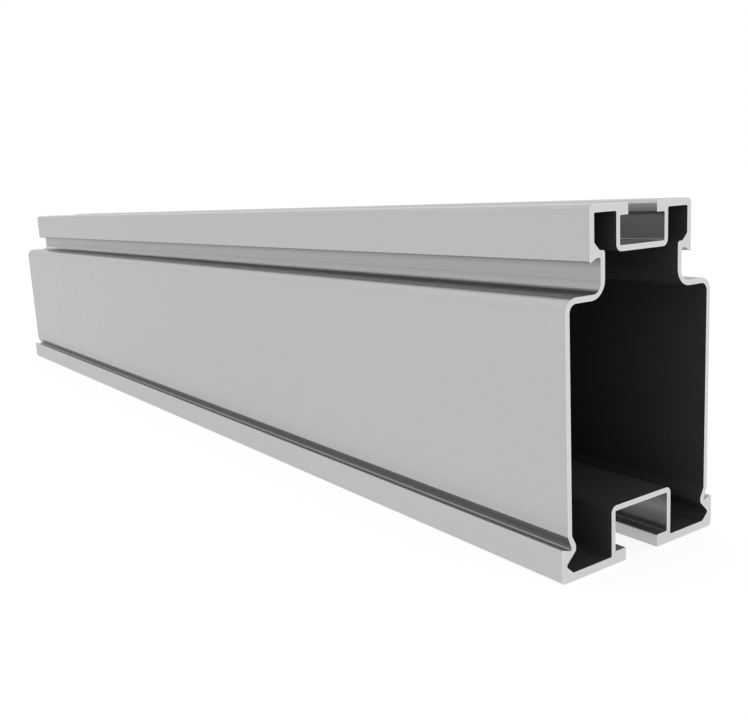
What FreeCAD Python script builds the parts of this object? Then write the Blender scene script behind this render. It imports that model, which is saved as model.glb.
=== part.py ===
import FreeCAD, Part
import os
import re
import Sketcher

# A solar mounting rail: one straight aluminium extrusion, sawn square at both ends.
# X runs along the rail, Y across it and Z up. The origin is on the underside, at mid length.
# Its section is the same on both sides of the middle line, so one half is drawn and mirrored.

# Driving dimensions in millimetres: alias, value, meaning.
SIZES = [
    ("rail_length", 413, "length between the sawn ends"),
    ("rail_height", 80, "height over all"),
    ("wall", 1.25, "common wall"),
    ("cap_width", 33.4, "width of the cap"),
    ("cap_wall", 1.35, "side wall of the cap"),
    ("cap_top", 1.65, "top wall of the cap"),
    ("cap_under", 69, "height of the cap's underside"),
    ("hook_drop", 0.9, "how far the hook at the cap's edge hangs down"),
    ("hook_run", 1.95, "width of the hook's slope"),
    ("hook_flat", 0.15, "flat at the hook's tip"),
    ("cap_floor", 1.5, "wall of the cap's underside"),
    ("cap_slant", 1.7, "slant inside the cap, above the hook"),
    ("neck_width", 26.8, "width of the neck"),
    ("neck_wall", 1.3, "wall of the neck"),
    ("shoulder_height", 61.5, "height of the shoulder"),
    ("body_width", 48.3, "width of the main body"),
    ("flange_width", 52.1, "width of the base flange"),
    ("flange_height", 8, "height of the base flange's edge"),
    ("flange_floor", 2, "floor of the base flange"),
    ("groove_low", 6.9, "height of the groove's bottom"),
    ("groove_top", 10.4, "height where the groove runs out"),
    ("groove_depth", 3.35, "depth of the groove from the flange's face"),
    ("ridge_low", 6.9, "height of the ridge's lower edge, inside"),
    ("ridge_top", 8.2, "height of the ridge's upper edge, inside"),
    ("ridge_depth", 4.3, "depth of the ridge from the flange's face, inside"),
    ("pocket_floor", 22.6, "where the floor ends and the pocket's slope starts"),
    ("pocket_nose", 24.8, "sharp corner of the pocket, from the middle line"),
    ("pocket_height", 3.95, "height of the pocket's sharp corner"),
    ("bolt_gap", 9.5, "gap of the top bolt channel"),
    ("bolt_width", 14.7, "width inside the top bolt channel"),
    ("bolt_depth", 8.95, "depth of the top bolt channel, from the top"),
    ("bolt_lip", 2.6, "lip of the top bolt channel"),
    ("bolt_wall", 1.15, "side wall of the top bolt channel"),
    ("base_gap", 10.9, "gap of the base bolt channel"),
    ("base_width", 18, "width inside the base bolt channel"),
    ("base_depth", 12.55, "depth of the base bolt channel, from the underside"),
    ("base_lip", 3.05, "lip of the base bolt channel"),
    ("shoulder_round", 3.2, "outside corner of the shoulder"),
    ("neck_round", 2.3, "foot of the neck, outside"),
    ("throat_round", 4.2, "foot of the neck, inside"),
    ("chamber_round", 2, "shoulder corner, inside"),
    ("root_round", 1.65, "chamber corners round the bolt channels"),
    ("pocket_round", 0.7, "nose of the pocket"),
    ("cap_round", 1.3, "outside corner of the cap"),
    ("flange_round", 1.1, "bottom corner of the flange"),
    ("ridge_round", 0.8, "ridge inside the flange"),
    ("neck_top_round", 0.7, "top of the neck, inside"),
    ("lip_round", 0.7, "upper edge of the top bolt channel's lips"),
    ("corner_round", 0.4, "small inside corners"),
    ("edge_round", 0.2, "edges of the lips and hooks"),
]

# Half of the section as one closed outline, corner by corner: name, distance from the middle
# line and height. It goes out over the cap, down the outside and back up through the chamber.
CORNERS = [
    ("bolt_floor_middle", "0", "rail_height - bolt_depth"),
    ("bolt_floor_side", "bolt_width / 2", "rail_height - bolt_depth"),
    ("bolt_lip_root", "bolt_width / 2", "rail_height - bolt_lip"),
    ("bolt_lip_under", "bolt_gap / 2", "rail_height - bolt_lip"),
    ("bolt_lip_top", "bolt_gap / 2", "rail_height"),
    ("cap_corner", "cap_width / 2", "rail_height"),
    ("hook_tip_outer", "cap_width / 2", "cap_under - hook_drop"),
    ("hook_tip_inner", "cap_width / 2 - hook_flat", "cap_under - hook_drop"),
    ("hook_root", "cap_width / 2 - hook_flat - hook_run", "cap_under"),
    ("neck_top", "neck_width / 2", "cap_under"),
    ("neck_foot", "neck_width / 2", "shoulder_height"),
    ("shoulder", "body_width / 2", "shoulder_height"),
    ("groove_end", "body_width / 2", "groove_top"),
    ("groove_bottom", "flange_width / 2 - groove_depth", "groove_low"),
    ("flange_top", "flange_width / 2", "flange_height"),
    ("flange_bottom", "flange_width / 2", "0"),
    ("base_lip_bottom", "base_gap / 2", "0"),
    ("base_lip_over", "base_gap / 2", "base_lip"),
    ("base_lip_root", "base_width / 2", "base_lip"),
    ("base_roof_side", "base_width / 2", "base_depth"),
    ("base_roof_middle", "0", "base_depth"),
    ("chamber_low_middle", "0", "base_depth + wall"),
    ("chamber_low_side", "base_width / 2 + wall", "base_depth + wall"),
    ("floor_inner", "base_width / 2 + wall", "flange_floor"),
    ("floor_outer", "pocket_floor", "flange_floor"),
    ("pocket", "pocket_nose", "pocket_height"),
    ("ridge_lower", "flange_width / 2 - ridge_depth", "ridge_low"),
    ("ridge_upper", "flange_width / 2 - ridge_depth", "ridge_top"),
    ("wall_foot", "body_width / 2 - wall", "groove_top"),
    ("chamber_shoulder", "body_width / 2 - wall", "shoulder_height - wall"),
    ("throat", "neck_width / 2 - neck_wall", "shoulder_height - wall"),
    ("throat_top", "neck_width / 2 - neck_wall", "cap_under + cap_floor"),
    ("slant_low", "cap_width / 2 - cap_wall - cap_slant", "cap_under + cap_floor"),
    ("slant_high", "cap_width / 2 - cap_wall", "cap_under + cap_floor + cap_slant"),
    ("cap_inner", "cap_width / 2 - cap_wall", "rail_height - cap_top"),
    ("cap_cell_inner", "bolt_width / 2 + bolt_wall", "rail_height - cap_top"),
    ("chamber_high_side", "bolt_width / 2 + bolt_wall", "rail_height - bolt_depth - wall"),
    ("chamber_high_middle", "0", "rail_height - bolt_depth - wall"),
]

# Corners that are rounded, by the radius they share.
ROUNDED = [
    ("shoulder_round", ["shoulder"]),
    ("neck_round", ["neck_foot"]),
    ("throat_round", ["throat"]),
    ("chamber_round", ["chamber_shoulder"]),
    ("root_round", ["chamber_low_side", "chamber_high_side"]),
    ("pocket_round", ["pocket"]),
    ("cap_round", ["cap_corner"]),
    ("flange_round", ["flange_bottom"]),
    ("ridge_round", ["ridge_lower", "ridge_upper", "slant_low", "slant_high"]),
    ("neck_top_round", ["throat_top"]),
    ("lip_round", ["bolt_lip_top"]),
    ("corner_round", ["bolt_floor_side", "bolt_lip_root", "cap_inner", "cap_cell_inner",
                      "floor_inner", "groove_bottom", "flange_top", "neck_top"]),
    ("edge_round", ["bolt_lip_under", "base_lip_bottom", "base_lip_over", "base_lip_root",
                    "base_roof_side"]),
]

TOLERANCE = 1e-4


def make_sheet(doc):
    """The driving dimensions, one row each: meaning and value."""
    sheet = doc.addObject("Spreadsheet::Sheet", "Sizes")
    for row, (alias, value, meaning) in enumerate(SIZES, start=1):
        sheet.set(f"A{row}", meaning)
        sheet.set(f"B{row}", str(value))
        sheet.setAlias(f"B{row}", alias)
    doc.recompute()
    return sheet


def from_sheet(formula):
    """The same formula with each alias read from the sheet."""
    return re.sub(r"[a-z]\w*", r"Sizes.\g<0>", formula)


def origin_plane(body, role):
    return [feature for feature in body.Origin.OriginFeatures if feature.Role == role][0]


def places_of_corners(sketch):
    """Distance from the middle line and height of every corner, in millimetres."""
    places = {}
    for name, across, up in CORNERS:
        places[name] = (float(sketch.evalExpression(from_sheet(across))),
                        float(sketch.evalExpression(from_sheet(up))))
    return places


def tie(sketch, kind, line, name, formula):
    """Hold the start of a line at a distance from the origin along one axis."""
    index = sketch.addConstraint(Sketcher.Constraint(kind, -1, 1, line, 1, 1.0))
    sketch.renameConstraint(index, name)
    sketch.setExpression(f"Constraints.{name}", from_sheet(formula))


def draw_half_section(body):
    """The closed outline of half the section, every corner tied to the sheet."""
    sketch = body.newObject("Sketcher::SketchObject", "HalfSection")
    sketch.AttachmentSupport = [(origin_plane(body, "YZ_Plane"), "")]
    sketch.MapMode = "FlatFace"
    places = places_of_corners(sketch)
    points = [FreeCAD.Vector(*places[name], 0) for name, across, up in CORNERS]
    count = len(points)
    for line in range(count):
        sketch.addGeometry(Part.LineSegment(points[line], points[(line + 1) % count]))
    joined = [Sketcher.Constraint("Coincident", line, 2, (line + 1) % count, 1) for line in range(count)]
    sketch.addConstraint(joined)
    for line, (name, across, up) in enumerate(CORNERS):
        if across == "0":
            sketch.addConstraint(Sketcher.Constraint("PointOnObject", line, 1, -2))
        else:
            tie(sketch, "DistanceX", line, name + "_across", across)
        if up == "0":
            sketch.addConstraint(Sketcher.Constraint("PointOnObject", line, 1, -1))
        else:
            tie(sketch, "DistanceY", line, name + "_up", up)
    return sketch


def extrude(body, sketch):
    """Half of the rail, as long as the rail and centred on the origin."""
    pad = body.newObject("PartDesign::Pad", "HalfRail")
    pad.Profile = sketch
    pad.SideType = "Symmetric"
    pad.setExpression("Length", "Sizes.rail_length")
    return pad


def lengthwise_edge(shape, across, up):
    """The name of the edge that runs along X at this place of the section."""
    for number, edge in enumerate(shape.Edges, start=1):
        middle = edge.CenterOfMass
        beside = abs(middle.y - across) < TOLERANCE and abs(middle.z - up) < TOLERANCE
        if beside and abs(middle.x) < TOLERANCE:
            return f"Edge{number}"
    raise ValueError(f"no lengthwise edge at {across}, {up}")


def round_corners(body, feature, places):
    """One fillet for each radius, along the whole length."""
    for radius, corners in ROUNDED:
        body.Document.recompute()
        edges = [lengthwise_edge(feature.Shape, *places[corner]) for corner in corners]
        fillet = body.newObject("PartDesign::Fillet", radius)
        fillet.Base = (feature, edges)
        fillet.setExpression("Radius", f"Sizes.{radius}")
        feature = fillet


def mirror_half(body):
    """The other half, on the far side of the middle plane."""
    body.Document.recompute()
    mirrored = body.newObject("PartDesign::Mirrored", "WholeRail")
    mirrored.TransformMode = "Whole shape"
    mirrored.MirrorPlane = (origin_plane(body, "XZ_Plane"), [""])
    body.Tip = mirrored


def rail_extrusion(doc):
    body = doc.addObject("PartDesign::Body", "Rail")
    body.Label = "rail_extrusion"
    sketch = draw_half_section(body)
    pad = extrude(body, sketch)
    round_corners(body, pad, places_of_corners(sketch))
    mirror_half(body)
    body.Placement = FreeCAD.Placement()
    return body


def check(doc, bodies):
    for item in doc.Objects:
        if "Invalid" in item.State or "Error" in item.State:
            raise RuntimeError(f"{item.Label} failed: {item.State}")
    for body in bodies:
        if body.Shape.isNull() or not body.Shape.isValid() or len(body.Shape.Solids) != 1:
            raise RuntimeError(f"{body.Label} is not one valid solid")


def main():
    doc = FreeCAD.newDocument("SolarRail")
    make_sheet(doc)
    bodies = [rail_extrusion(doc)]
    doc.recompute()
    check(doc, bodies)
    os.makedirs("parts", exist_ok=True)
    for body in bodies:
        body.Shape.exportStep(f"parts/{body.Label}.step")
        box = body.Shape.BoundBox
        print(body.Label, "volume", round(body.Shape.Volume), "mm3,", len(body.Shape.Faces), "faces")
        print("X", box.XMin, box.XMax, "Y", box.YMin, box.YMax, "Z", box.ZMin, box.ZMax)


main()
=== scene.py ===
"""The looks of a solar mounting rail: one aluminium extrusion, sawn square at both ends.

Metres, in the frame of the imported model: X along the rail, Y across it, Z up, origin on the
underside at mid length. The end nearest the camera is at +X.
"""
import math

import bpy
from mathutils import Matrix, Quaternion, Vector


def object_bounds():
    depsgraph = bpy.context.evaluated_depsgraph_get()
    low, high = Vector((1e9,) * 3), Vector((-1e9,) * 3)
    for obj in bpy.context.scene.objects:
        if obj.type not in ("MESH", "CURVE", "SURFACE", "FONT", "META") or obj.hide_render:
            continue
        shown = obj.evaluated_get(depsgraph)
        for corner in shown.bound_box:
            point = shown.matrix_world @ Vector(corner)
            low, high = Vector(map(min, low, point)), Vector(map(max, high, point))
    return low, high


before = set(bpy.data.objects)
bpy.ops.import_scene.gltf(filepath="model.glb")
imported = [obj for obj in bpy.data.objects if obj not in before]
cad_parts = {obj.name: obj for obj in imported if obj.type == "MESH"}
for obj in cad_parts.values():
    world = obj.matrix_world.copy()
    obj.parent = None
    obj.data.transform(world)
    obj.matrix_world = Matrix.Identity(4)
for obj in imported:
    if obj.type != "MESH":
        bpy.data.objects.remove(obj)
CAD_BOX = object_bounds()
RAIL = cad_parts["rail_extrusion"]

MM = 0.001

# The photograph's camera: where it stands from the middle of the near end's underside, which way
# it looks, and its focal length in pixels of the photograph.
EYE_FROM_NEAR_END = Vector((127.0, -159.15, 85.4)) * MM
HEADING = math.radians(55.47)
LOOKING_DOWN = math.radians(10.72)
ROLL = math.radians(-3.04)
FOCAL_PIXELS = 901.5
IMAGE_WIDTH = 748
SENSOR_WIDTH = 36.0
CLIP_START = 0.01

# The section in millimetres: distances out from the middle plane, then heights above the underside.
# BOLT is the bolt channel in the cap, and BASE the one in the base.
CAP_SIDE = 16.7
NECK_SIDE = 13.4
BODY_SIDE = 24.15
FLANGE_SIDE = CAD_BOX[1].y / MM
BOLT_SIDE = 7.35
BOLT_GAP_SIDE = 4.75
BASE_SIDE = 9.0
BASE_GAP_SIDE = 5.45
CAP_TOP = CAD_BOX[1].z / MM
BOLT_LIP_UNDER = 77.4
BOLT_FLOOR = 71.05
CAP_UNDER = 69.0
HOOK_TIP = 68.1
SHOULDER = 61.5
GROOVE_TOP = 10.4
FLANGE_TOP = 8.0
GROOVE_BOTTOM = 6.9
BASE_LIP_TOP = 3.05

# The finishes. Greys are linear colour, depths and widths are in millimetres, and the sizes of a
# pattern are its features per millimetre along the rail, across it and up.
SKIN_GREY = 0.5
SKIN_GREY_SPREAD = 0.007
SKIN_METAL = 1.0
SKIN_ROUGHNESS = 0.28
SKIN_ROUGHNESS_SPREAD = 0.015
SKIN_ANISOTROPY = 0.45
SKIN_EDGE_TINT = 0.85
FINE_LINES = (0.004, 5.0, 5.0)
FINE_LINE_DEPTH = 0.0007
BROAD_LINES = (0.003, 0.6, 0.6)
CLOUDS = (0.02, 0.03, 0.03)

# The sawn ends. The saw's arcs turn about SAW_CENTRE, a place in millimetres.
SAWN_GREY = 0.66
SAWN_METAL = 0.6
SAWN_ROUGHNESS = 0.5
SAWN_ROUGHNESS_SPREAD = 0.05
SAWN_DEPTH = 0.006
GRAIN = (0.5, 1.6, 1.6)
GRAIN_GREY_SPREAD = 0.02
SAW_CENTRE = Vector((0.0, -130.0, -60.0))
SAW_ARCS_PER_MM = 2.2
SAW_ARC_GREY_SPREAD = 0.025

# A painted highlight along the rim of the sawn ends, for the light that a deburred edge catches: the last
# two say how alike the rounded and the flat normal are where it starts and where it is full.
RIM_HIGHLIGHT_GREY = 0.74
RIM_WIDTH = 1.0
RIM_SAMPLES = 8
RIM_STARTS = 0.98
RIM_FULL = 0.8

# The chamber's inside is painted dark grey: painted shade for the little light that reaches in.
CHAMBER_SHADE_GREY = 0.076
CHAMBER_GREY_SPREAD = 0.15 * CHAMBER_SHADE_GREY
CHAMBER_METAL = 0.5
CHAMBER_ROUGHNESS = 0.35
CHAMBER_ROUGHNESS_SPREAD = 0.04
CHAMBER_LINES = (0.004, 1.5, 1.5)

# How the faces are told apart: the least share of a sawn end's normal along the rail, and the
# distance in millimetres within which side faces hang together.
END_NORMAL = 0.5
WELD_DISTANCE = 0.001

# Light and background. The ceiling starts and is full where a direction's Z has these values.
HORIZON_LEVEL = 1.0
CEILING_LEVEL = 1.05
CEILING_STARTS = 0.2
CEILING_FULL = 0.85
FLOOR_GREY = 0.95
FLOOR_ROUGHNESS = 0.9
FLOOR_SEEN_GREY = 0.16
FLOOR_SEEN_GLOW = 0.87
FLOOR_HALF_SIZE = 8.0

# The order of the rail's material slots.
SKIN, CHAMBER, SAWN_END = range(3)


def around(size, less, more):
    """From a little less than a size to a little more."""
    return size - less, size + more


# Places on the section where the skin is painted darker or lighter than elsewhere, most of them painted
# shade in recesses and under overhangs, the rest painted reflections and highlights:
# the share of the full tone, from where to where outwards, from where to where upwards, and over how
# many millimetres upwards it starts and ends.
PAINTED_LIGHT_PLACES = {
    "neck": (0.76, around(NECK_SIDE, 0.4, 3.0), (SHOULDER + 1.0, CAP_UNDER + 1.0), 2.0),
    "foot of the neck": (0.72, around(NECK_SIDE, 0.1, 2.4), (SHOULDER + 0.1, SHOULDER + 0.45), 0.3),
    "bend over the foot": (1.6, around(NECK_SIDE, 0.1, 2.4), (SHOULDER + 0.45, SHOULDER + 0.95), 0.3),
    "shoulder": (0.72, (NECK_SIDE + 1.9, BODY_SIDE - 3.55), around(SHOULDER, 0.3, 0.1), 0.1),
    "top of the neck": (0.82, around(NECK_SIDE, 0.4, 0.2), around(CAP_UNDER, 2.0, 1.0), 1.2),
    # A painted highlight: a lighter line along the lower part of the neck.
    "highlight line on the neck": (1.05, around(NECK_SIDE, 0.4, 0.2), (SHOULDER + 3.1, SHOULDER + 3.4), 0.1),
    "edge of the hook": (0.42, around(CAP_SIDE, 0.1, 0.3), around(HOOK_TIP, 0.1, 0.36), 0.06),
    "foot of the body": (0.92, around(BODY_SIDE, 0.15, 0.15), around(GROOVE_TOP, 6.4, 2.6), 5.0),
    "flange": (1.05, around(FLANGE_SIDE, 0.15, 0.15), (-1.0, FLANGE_TOP + 1.0), 0.1),
    "groove": (0.95, (BODY_SIDE - 1.25, FLANGE_SIDE - 0.45), (GROOVE_BOTTOM + 0.8, GROOVE_TOP), 0.1),
    "groove bottom": (0.65, (BODY_SIDE - 1.25, FLANGE_SIDE - 0.45), around(GROOVE_BOTTOM, 0.1, 0.8), 0.1),
    "bolt floor": (0.4, (-1.0, BOLT_SIDE - 0.45), around(BOLT_FLOOR, 0.15, 0.15), 0.1),
    "bolt corner": (0.55, around(BOLT_SIDE, 0.45, 0.15), around(BOLT_FLOOR, 0.15, 0.35), 0.1),
    "bolt wall": (1.3, around(BOLT_SIDE, 0.35, 0.15), (BOLT_FLOOR + 0.35, CAP_TOP - 0.5), 0.3),
    "bolt lip": (1.15, (BOLT_GAP_SIDE - 0.05, BOLT_SIDE - 0.35), (BOLT_FLOOR + 0.35, CAP_TOP - 0.5), 0.3),
    "under the bolt lip": (0.3, around(BOLT_SIDE, 0.35, 0.15), around(BOLT_LIP_UNDER, 0.5, 1.6), 1.4),
    "base wall": (0.3, around(BASE_SIDE, 0.2, 0.1), (BASE_LIP_TOP + 0.25, BASE_LIP_TOP + 4.85), 4.4),
    "base lip": (2.0, (BASE_GAP_SIDE + 0.25, BASE_SIDE - 0.2), around(BASE_LIP_TOP, 0.05, 0.05), 0.04),
}


# Node helpers

def add_node(tree, kind, **inputs):
    """A node with some of its inputs set or linked; names use _ for a space."""
    made = tree.nodes.new(kind)
    for name, value in inputs.items():
        feed(tree, made.inputs[name.replace("_", " ")], value)
    return made


def feed(tree, socket, value):
    """Links an output to the socket, or sets the socket's own value."""
    if isinstance(value, bpy.types.NodeSocket):
        tree.links.new(value, socket)
    else:
        socket.default_value = value


def maths(tree, operation, *values):
    made = tree.nodes.new("ShaderNodeMath")
    made.operation = operation
    for socket, value in zip(made.inputs, values):
        feed(tree, socket, value)
    return made.outputs[0]


def vector_maths(tree, operation, *values, output="Vector"):
    made = tree.nodes.new("ShaderNodeVectorMath")
    made.operation = operation
    for socket, value in zip(made.inputs, values):
        feed(tree, socket, value)
    return made.outputs[output]


def remap(tree, value, low, high):
    """A value between 0 and 1, spread evenly from low to high."""
    made = add_node(tree, "ShaderNodeMapRange", Value=value, To_Min=low, To_Max=high)
    return made.outputs["Result"]


def varied(tree, value, middle, spread):
    """A value between 0 and 1, turned into one that goes as far as the spread from the middle."""
    return remap(tree, value, middle - spread, middle + spread)


def ramp(tree, value, from_mm, to_mm, low, high):
    """Goes smoothly from low to high while the value goes from one size in millimetres to another."""
    made = add_node(tree, "ShaderNodeMapRange", Value=value, From_Min=from_mm * MM, From_Max=to_mm * MM,
                    To_Min=low, To_Max=high)
    made.interpolation_type = "SMOOTHSTEP"
    return made.outputs["Result"]


def step_between(tree, value, low_mm, high_mm):
    """1 where the value lies between two sizes in millimetres, and 0 elsewhere."""
    above = maths(tree, "GREATER_THAN", value, low_mm * MM)
    return maths(tree, "MULTIPLY", above, maths(tree, "LESS_THAN", value, high_mm * MM))


def grey(tree, value):
    made = add_node(tree, "ShaderNodeCombineColor", Red=value, Green=value, Blue=value)
    return made.outputs["Color"]


def position(tree):
    return tree.nodes.new("ShaderNodeNewGeometry").outputs["Position"]


def shading_normal(tree):
    return tree.nodes.new("ShaderNodeNewGeometry").outputs["Normal"]


def noise(tree, coordinates, per_mm, detail=3.0, seed=0.0):
    """Noise between 0 and 1, with its sizes in features per millimetre along each axis."""
    scaled = vector_maths(tree, "MULTIPLY", coordinates, [n / MM for n in per_mm])
    shifted = vector_maths(tree, "ADD", scaled, (seed, seed, seed))
    made = add_node(tree, "ShaderNodeTexNoise", Vector=shifted, Scale=1.0, Detail=detail, Roughness=0.55)
    return made.outputs["Fac"]


def bump(tree, height, depth_mm):
    made = add_node(tree, "ShaderNodeBump", Height=height, Distance=depth_mm * MM, Strength=1.0)
    return made.outputs["Normal"]


def new_material(name):
    """An empty material, its node tree and its Principled shader."""
    material = bpy.data.materials.new(name)
    material.use_nodes = True
    tree = material.node_tree
    return material, tree, tree.nodes["Principled BSDF"]


# Materials

def painted_light_share(tree, place):
    """The share of the full tone at each place of the section, with its painted shade and painted
    highlights, as the table of places says.
    """
    parts = add_node(tree, "ShaderNodeSeparateXYZ", Vector=place)
    outwards = maths(tree, "ABSOLUTE", parts.outputs["Y"])
    upwards = parts.outputs["Z"]
    tone = 1.0
    for share, (inner, outer), (low, high), soft in PAINTED_LIGHT_PLACES.values():
        within = step_between(tree, outwards, inner, outer)
        starts = ramp(tree, upwards, low - soft / 2, low + soft / 2, 0.0, 1.0)
        ends = ramp(tree, upwards, high - soft / 2, high + soft / 2, 1.0, 0.0)
        here = maths(tree, "MULTIPLY", within, maths(tree, "MULTIPLY", starts, ends))
        tone = maths(tree, "MULTIPLY", tone, remap(tree, here, 1.0, share))
    return tone


def extruded_skin():
    """Satin aluminium with the die's fine lines along the rail, and painted shade and painted highlights at
    places on the section.
    """
    material, tree, shader = new_material("extruded_skin")
    place = position(tree)
    fine_lines = noise(tree, place, FINE_LINES, detail=2.0)
    broad_lines = noise(tree, place, BROAD_LINES, seed=7.0)
    clouds = noise(tree, place, CLOUDS, seed=3.0)
    tone = maths(tree, "ADD", varied(tree, broad_lines, SKIN_GREY, SKIN_GREY_SPREAD),
                 varied(tree, clouds, 0.0, SKIN_GREY_SPREAD))
    # Painted shade and painted highlights darken or lighten the grey at places on the section.
    tone = maths(tree, "MULTIPLY", tone, painted_light_share(tree, place))
    rough = maths(tree, "ADD", varied(tree, fine_lines, SKIN_ROUGHNESS, SKIN_ROUGHNESS_SPREAD),
                  varied(tree, clouds, 0.0, SKIN_ROUGHNESS_SPREAD))
    feed(tree, shader.inputs["Base Color"], grey(tree, tone))
    feed(tree, shader.inputs["Roughness"], rough)
    feed(tree, shader.inputs["Normal"], bump(tree, fine_lines, FINE_LINE_DEPTH))
    shader.inputs["Metallic"].default_value = SKIN_METAL
    shader.inputs["Anisotropic"].default_value = SKIN_ANISOTROPY
    shader.inputs["Specular Tint"].default_value = (SKIN_EDGE_TINT, SKIN_EDGE_TINT, SKIN_EDGE_TINT, 1.0)
    round_the_rail = vector_maths(tree, "CROSS_PRODUCT", shading_normal(tree), (1.0, 0.0, 0.0))
    feed(tree, shader.inputs["Tangent"], round_the_rail)
    return material


def rim(tree):
    """1 along the sharp edges, falling to 0 within the rim's width."""
    rounded = add_node(tree, "ShaderNodeBevel", Radius=RIM_WIDTH * MM)
    rounded.samples = RIM_SAMPLES
    likeness = vector_maths(tree, "DOT_PRODUCT", rounded.outputs["Normal"], shading_normal(tree),
                            output="Value")
    made = add_node(tree, "ShaderNodeMapRange", Value=likeness, From_Min=RIM_STARTS, From_Max=RIM_FULL)
    return made.outputs["Result"]


def sawn_face():
    """The cut ends: brighter metal with the saw's shallow arcs, and a painted highlight along the rim for
    the light that a deburred edge catches.
    """
    material, tree, shader = new_material("sawn_face")
    place = position(tree)
    grain = noise(tree, place, GRAIN, seed=11.0)
    from_blade = vector_maths(tree, "DISTANCE", place, SAW_CENTRE * MM, output="Value")
    along_radius = add_node(tree, "ShaderNodeCombineXYZ", X=from_blade).outputs["Vector"]
    arcs = noise(tree, along_radius, (SAW_ARCS_PER_MM, 0.0, 0.0), detail=2.0, seed=4.0)
    marks = maths(tree, "ADD", varied(tree, grain, 0.0, GRAIN_GREY_SPREAD),
                  varied(tree, arcs, 0.0, SAW_ARC_GREY_SPREAD))
    # The rim's lighter grey is a painted highlight along the sawn edges.
    tone = maths(tree, "ADD", marks, remap(tree, rim(tree), SAWN_GREY, RIM_HIGHLIGHT_GREY))
    feed(tree, shader.inputs["Base Color"], grey(tree, tone))
    feed(tree, shader.inputs["Roughness"], varied(tree, grain, SAWN_ROUGHNESS, SAWN_ROUGHNESS_SPREAD))
    feed(tree, shader.inputs["Normal"], bump(tree, maths(tree, "ADD", grain, arcs), SAWN_DEPTH))
    shader.inputs["Metallic"].default_value = SAWN_METAL
    return material


def chamber_painted_shade():
    """The inside of the extrusion: a dark grey that is painted shade for the little light inside the
    chamber.
    """
    material, tree, shader = new_material("chamber_painted_shade")
    lines = noise(tree, position(tree), CHAMBER_LINES, seed=5.0)
    tone = varied(tree, lines, CHAMBER_SHADE_GREY, CHAMBER_GREY_SPREAD)
    feed(tree, shader.inputs["Base Color"], grey(tree, tone))
    feed(tree, shader.inputs["Roughness"], varied(tree, lines, CHAMBER_ROUGHNESS, CHAMBER_ROUGHNESS_SPREAD))
    shader.inputs["Metallic"].default_value = CHAMBER_METAL
    return material


def finish_zones():
    """A modifier's nodes that give each face its finish: skin outside, painted shade in the chamber, sawn
    ends.

    Faces that look along the rail are the sawn ends. Of the other faces, those that hang together
    face outwards on the whole, or inwards where they line the chamber.
    """
    tree = bpy.data.node_groups.new("finish_zones", "GeometryNodeTree")
    tree.interface.new_socket("Geometry", in_out="INPUT", socket_type="NodeSocketGeometry")
    tree.interface.new_socket("Geometry", in_out="OUTPUT", socket_type="NodeSocketGeometry")
    shape = tree.nodes.new("NodeGroupInput").outputs[0]
    normal = tree.nodes.new("GeometryNodeInputNormal").outputs["Normal"]
    centre = tree.nodes.new("GeometryNodeInputPosition").outputs[0]
    along = maths(tree, "ABSOLUTE", add_node(tree, "ShaderNodeSeparateXYZ", Vector=normal).outputs["X"])
    is_end = maths(tree, "GREATER_THAN", along, END_NORMAL)
    is_side = maths(tree, "LESS_THAN", along, END_NORMAL)

    welded = add_node(tree, "GeometryNodeMergeByDistance", Geometry=shape, Selection=is_side,
                      Distance=WELD_DISTANCE * MM)
    together = tree.nodes.new("GeometryNodeInputMeshIsland").outputs["Island Index"]
    area = tree.nodes.new("GeometryNodeInputMeshFaceArea").outputs[0]
    outward = vector_maths(tree, "DOT_PRODUCT", normal, centre, output="Value")
    summed = tree.nodes.new("GeometryNodeAccumulateField")
    summed.data_type = "FLOAT"
    summed.domain = "FACE"
    feed(tree, summed.inputs["Value"], maths(tree, "MULTIPLY", outward, area))
    feed(tree, summed.inputs["Group ID"], together)
    faces_inwards = maths(tree, "LESS_THAN", summed.outputs["Total"], 0.0)

    lines_chamber = tree.nodes.new("GeometryNodeSampleIndex")
    lines_chamber.data_type = "FLOAT"
    lines_chamber.domain = "FACE"
    feed(tree, lines_chamber.inputs["Geometry"], welded.outputs["Geometry"])
    feed(tree, lines_chamber.inputs["Value"], faces_inwards)
    feed(tree, lines_chamber.inputs["Index"], tree.nodes.new("GeometryNodeInputIndex").outputs[0])

    # Faces that line the chamber get the chamber's painted shade.
    inner = maths(tree, "MULTIPLY", lines_chamber.outputs[0], float(CHAMBER))
    zone = maths(tree, "MAXIMUM", inner, maths(tree, "MULTIPLY", is_end, float(SAWN_END)))
    painted = add_node(tree, "GeometryNodeSetMaterialIndex", Geometry=shape, Material_Index=zone)
    feed(tree, tree.nodes.new("NodeGroupOutput").inputs[0], painted.outputs["Geometry"])
    return tree


def finish_rail():
    finishes = {SKIN: extruded_skin(), CHAMBER: chamber_painted_shade(), SAWN_END: sawn_face()}
    RAIL.data.materials.clear()
    for place in sorted(finishes):
        RAIL.data.materials.append(finishes[place])
    zones = RAIL.modifiers.new("finish_zones", "NODES")
    zones.node_group = finish_zones()


# Stage

def seen_as_background(tree):
    """1 for what the camera sees, straight or in a reflection."""
    path = tree.nodes.new("ShaderNodeLightPath")
    seen = maths(tree, "MAXIMUM", path.outputs["Is Camera Ray"], path.outputs["Is Glossy Ray"])
    return maths(tree, "MAXIMUM", seen, path.outputs["Is Transmission Ray"])


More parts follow.
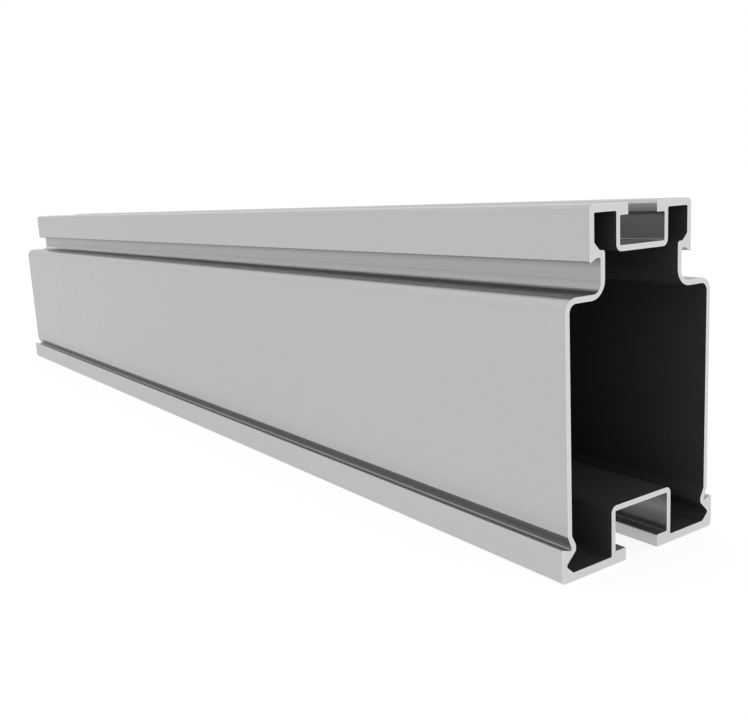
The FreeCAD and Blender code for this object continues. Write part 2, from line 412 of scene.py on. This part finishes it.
def floor_material():
    """A pale floor that is seen as white and keeps the rail's shadow at part strength."""
    material, tree, shader = new_material("floor")
    shader.inputs["Roughness"].default_value = FLOOR_ROUGHNESS
    shader.inputs["Specular IOR Level"].default_value = 0.0
    shader.inputs["Emission Color"].default_value = (1.0, 1.0, 1.0, 1.0)
    seen = seen_as_background(tree)
    feed(tree, shader.inputs["Base Color"], grey(tree, remap(tree, seen, FLOOR_GREY, FLOOR_SEEN_GREY)))
    feed(tree, shader.inputs["Emission Strength"], remap(tree, seen, 0.0, FLOOR_SEEN_GLOW))
    return material


def add_floor():
    mesh = bpy.data.meshes.new("floor")
    s = FLOOR_HALF_SIZE
    mesh.from_pydata([(-s, -s, 0), (s, -s, 0), (s, s, 0), (-s, s, 0)], [], [(0, 1, 2, 3)])
    mesh.materials.append(floor_material())
    floor = bpy.data.objects.new("floor", mesh)
    bpy.context.scene.collection.objects.link(floor)


def light_world():
    """Even white light from all round, under a ceiling a little brighter than the walls."""
    world = bpy.data.worlds.new("studio")
    world.use_nodes = True
    bpy.context.scene.world = world
    tree = world.node_tree
    direction = tree.nodes.new("ShaderNodeTexCoord").outputs["Generated"]
    height = add_node(tree, "ShaderNodeSeparateXYZ", Vector=direction).outputs["Z"]
    level = add_node(tree, "ShaderNodeMapRange", Value=height, From_Min=CEILING_STARTS,
                     From_Max=CEILING_FULL, To_Min=HORIZON_LEVEL, To_Max=CEILING_LEVEL)
    level.interpolation_type = "SMOOTHSTEP"
    feed(tree, tree.nodes["Background"].inputs["Strength"], level.outputs["Result"])
    tree.nodes["Background"].inputs["Color"].default_value = (1.0, 1.0, 1.0, 1.0)


def add_camera():
    data = bpy.data.cameras.new("camera")
    data.sensor_width = SENSOR_WIDTH
    data.lens = FOCAL_PIXELS / IMAGE_WIDTH * SENSOR_WIDTH
    data.clip_start = CLIP_START
    camera = bpy.data.objects.new("camera", data)
    low, high = CAD_BOX
    near_end = Vector((high.x, 0.0, low.z))
    camera.location = near_end + EYE_FROM_NEAR_END
    level = math.cos(LOOKING_DOWN)
    back = Vector((math.sin(HEADING) * level, -math.cos(HEADING) * level, math.sin(LOOKING_DOWN)))
    camera.rotation_mode = "QUATERNION"
    camera.rotation_quaternion = back.to_track_quat("Z", "Y") @ Quaternion((0, 0, 1), ROLL)
    bpy.context.scene.collection.objects.link(camera)
    bpy.context.scene.camera = camera


finish_rail()
add_floor()
light_world()
add_camera()
bpy.context.scene.view_settings.view_transform = "Standard"
